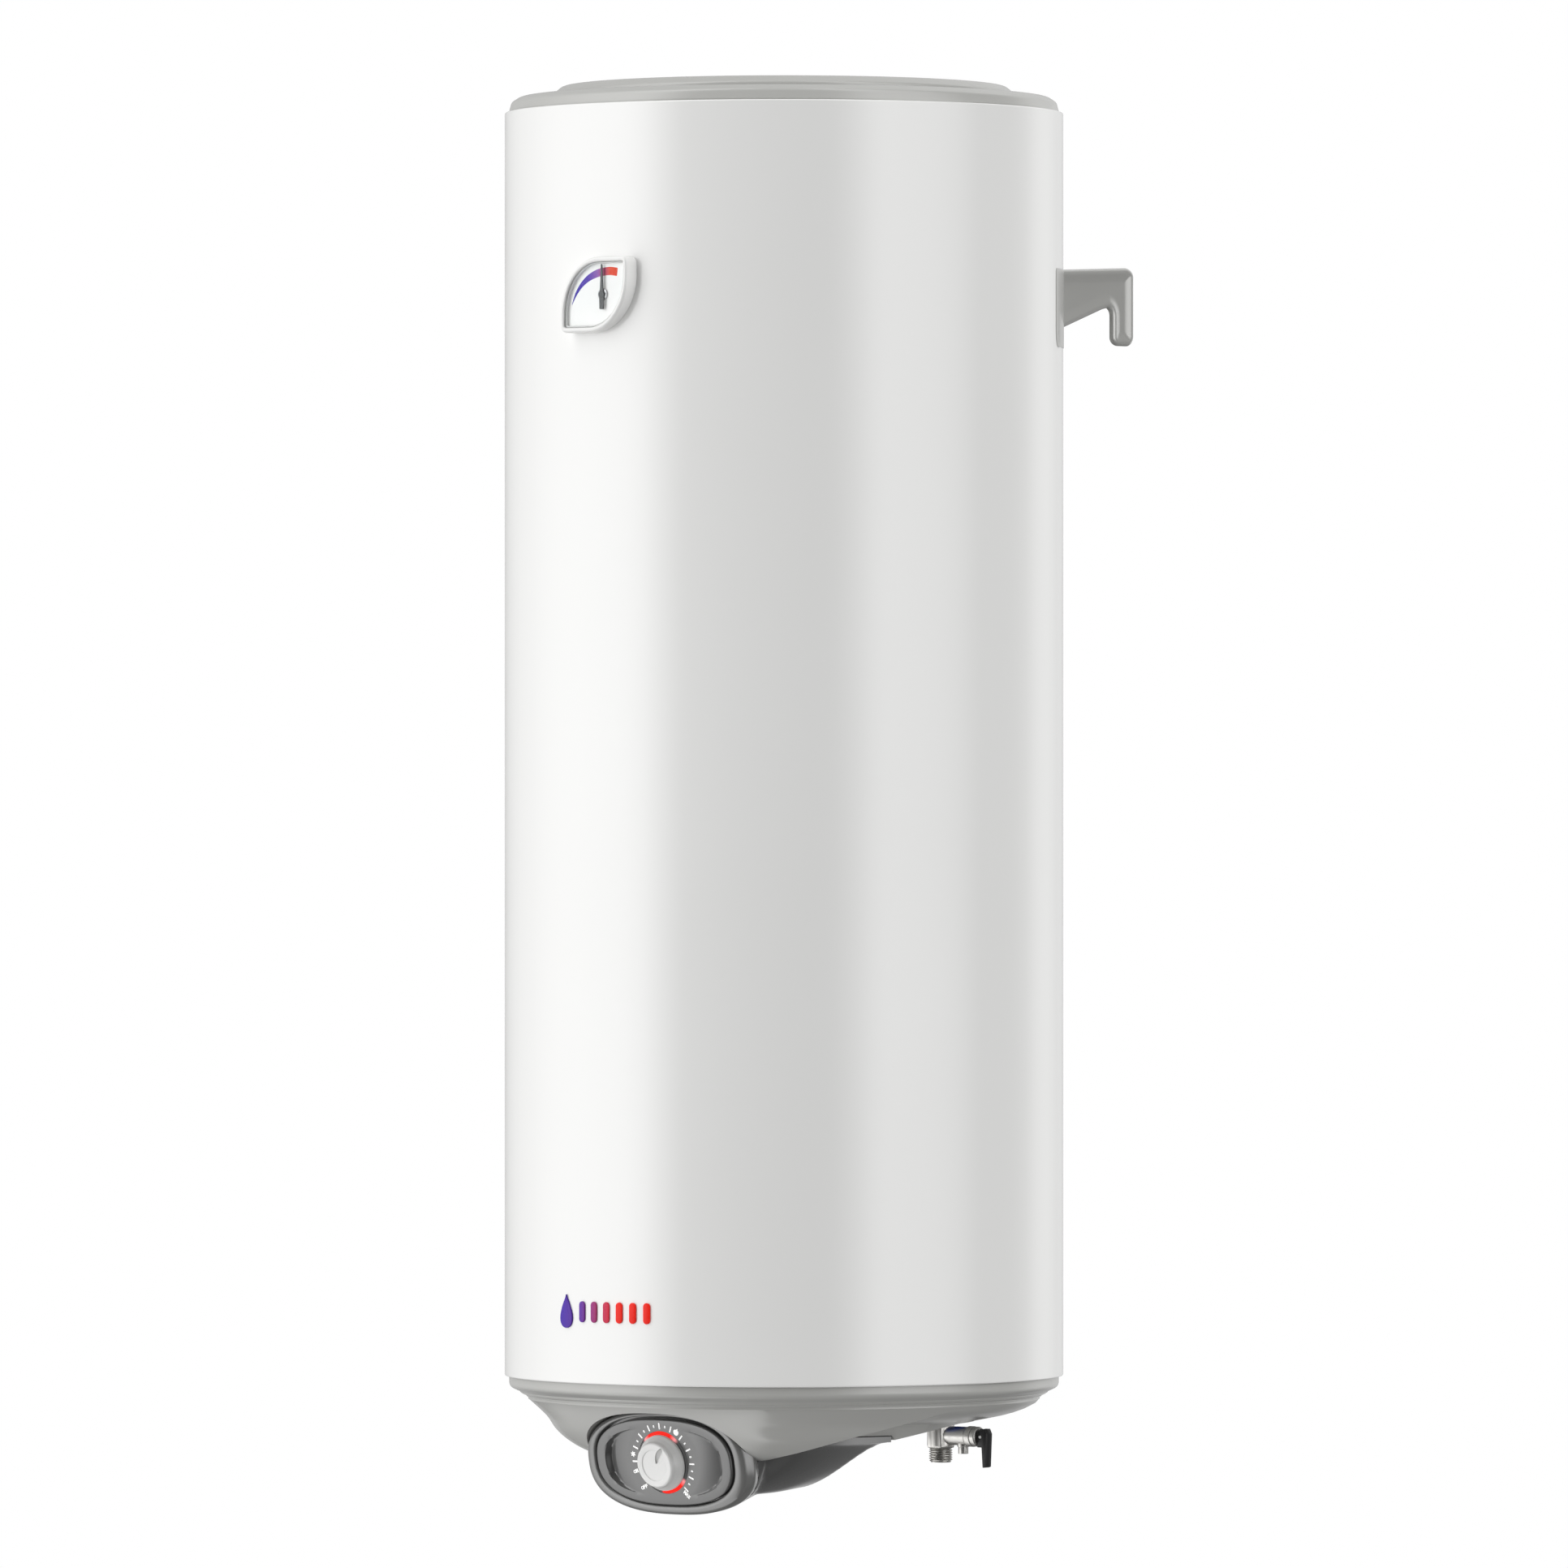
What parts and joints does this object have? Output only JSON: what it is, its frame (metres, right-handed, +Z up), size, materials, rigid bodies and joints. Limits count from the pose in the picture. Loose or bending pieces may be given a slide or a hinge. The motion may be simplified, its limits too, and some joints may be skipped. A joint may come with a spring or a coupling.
{
  "type": "tank water heater",
  "caption": "Wall-hung upright electric tank water heater with a slim round jacket, front thermometer, turning temperature knob below, wall hooks and a safety valve.",
  "frame": {"origin": "in the wall plane, midway between the seats of the two wall hooks", "axes": "+Z up, along the tank's axis; +Y towards the wall; the front with the knob and thermometer faces -Y; +X to the right as seen from the front"},
  "size_m": [0.456, 0.488, 1.1597],
  "materials": {
    "enamel": "gloss",
    "light_plastic": "satin",
    "dark_plastic": "satin",
    "knob_plastic": "satin",
    "light_guide": "gloss",
    "white_plastic": "satin",
    "black_plastic": "satin",
    "blue_plastic": "satin",
    "clear_plastic": "gloss",
    "zinc_steel": "satin",
    "bracket_steel": "satin",
    "tank_steel": "satin",
    "foam": "matte",
    "nickel_brass": "satin",
    "copper": "satin",
    "rubber": "matte",
    "magnesium": "matte"
  },
  "bodies": {
    "heater": {"anode_nut": "zinc_steel", "anode_rod": "magnesium", "bottom_cap": "light_plastic", "cable_gland": "black_plastic", "cold_collar": "blue_plastic", "cold_inlet_pipe": "zinc_steel", "control_housing": "dark_plastic", "control_panel": "dark_plastic", "cover_screw_1": "zinc_steel", "cover_screw_2": "zinc_steel", "flange_bolt_1": "zinc_steel", "flange_bolt_2": "zinc_steel", "flange_bolt_3": "zinc_steel", "flange_bolt_4": "zinc_steel", "flange_bolt_5": "zinc_steel", "flange_bolt_6": "zinc_steel", "flange_gasket": "rubber", "flange_plate": "zinc_steel", "front_badge": "white_plastic", "gland_nut": "black_plastic", "heating_element": "copper", "hot_collar": "light_guide", "hot_outlet_pipe": "zinc_steel", "indicator_ring": "light_guide", "inlet_diffuser": "white_plastic", "inner_tank": "tank_steel", "insulation_foam": "foam", "jacket": "enamel", "mounting_band": "zinc_steel", "relief_bonnet": "nickel_brass", "relief_spring": "zinc_steel", "safety_valve_body": "nickel_brass", "sensor_capillary": "copper", "sensor_pocket": "copper", "service_cover": "dark_plastic", "slot_trim_left": "light_plastic", "slot_trim_right": "light_plastic", "terminal_block": "white_plastic", "thermometer_bezel": "white_plastic", "thermometer_body": "zinc_steel", "thermometer_dial": "white_plastic", "thermometer_hub": "zinc_steel", "thermometer_lens": "clear_plastic", "thermostat_body": "black_plastic", "top_cap": "light_plastic", "wall_hook_left": "bracket_steel", "wall_hook_right": "bracket_steel"},
    "knob": {"temperature_knob": "knob_plastic", "knob_shaft": "zinc_steel"},
    "pointer": {"thermometer_pointer": "black_plastic", "pointer_spindle": "zinc_steel"},
    "relief_stem": {"relief_stem": "nickel_brass", "lever_pin": "zinc_steel"},
    "lever": {"relief_lever": "black_plastic"},
    "poppet": {"check_poppet": "white_plastic"},
    "button": {"reset_button": "light_guide"}
  },
  "joints": [
    {"name": "knob_turn", "type": "hinge", "parent": "heater", "child": "knob", "pos_m": [0, -0.401, -0.939], "axis": [0, 0.9823, 0.1874], "range_deg": [-169, 101]},
    {"name": "pointer_turn", "type": "hinge", "parent": "heater", "child": "pointer", "pos_m": [0.007, -0.488, 0.002], "axis": [0, 1, 0], "range_deg": [-104, 43], "stiffness_Nm_per_rad": 0.002},
    {"name": "stem_slide", "type": "slide", "parent": "heater", "child": "relief_stem", "axis": [1, 0, 0], "range_m": [0, 0.0031], "stiffness_N_per_m": 1500, "springref_m": -0.002, "deforming": ["relief_spring"]},
    {"name": "lever_lift", "type": "hinge", "parent": "relief_stem", "child": "lever", "pos_m": [0.095, -0.1092, -0.9265], "axis": [0, -1, 0], "range_deg": [0, 90]},
    {"name": "poppet_lift", "type": "slide", "parent": "heater", "child": "poppet", "axis": [0, 0, 1], "range_m": [0, 0.0025], "stiffness_N_per_m": 20, "springref_m": -0.0005},
    {"name": "reset_press", "type": "slide", "parent": "heater", "child": "button", "axis": [0, -0.9823, -0.1874], "range_m": [0, 0.0016], "stiffness_N_per_m": 2000}
  ],
  "couplings": [
    {"joint": "lever_lift", "follows": "stem_slide", "rad_per_m": 506.5}
  ]
}
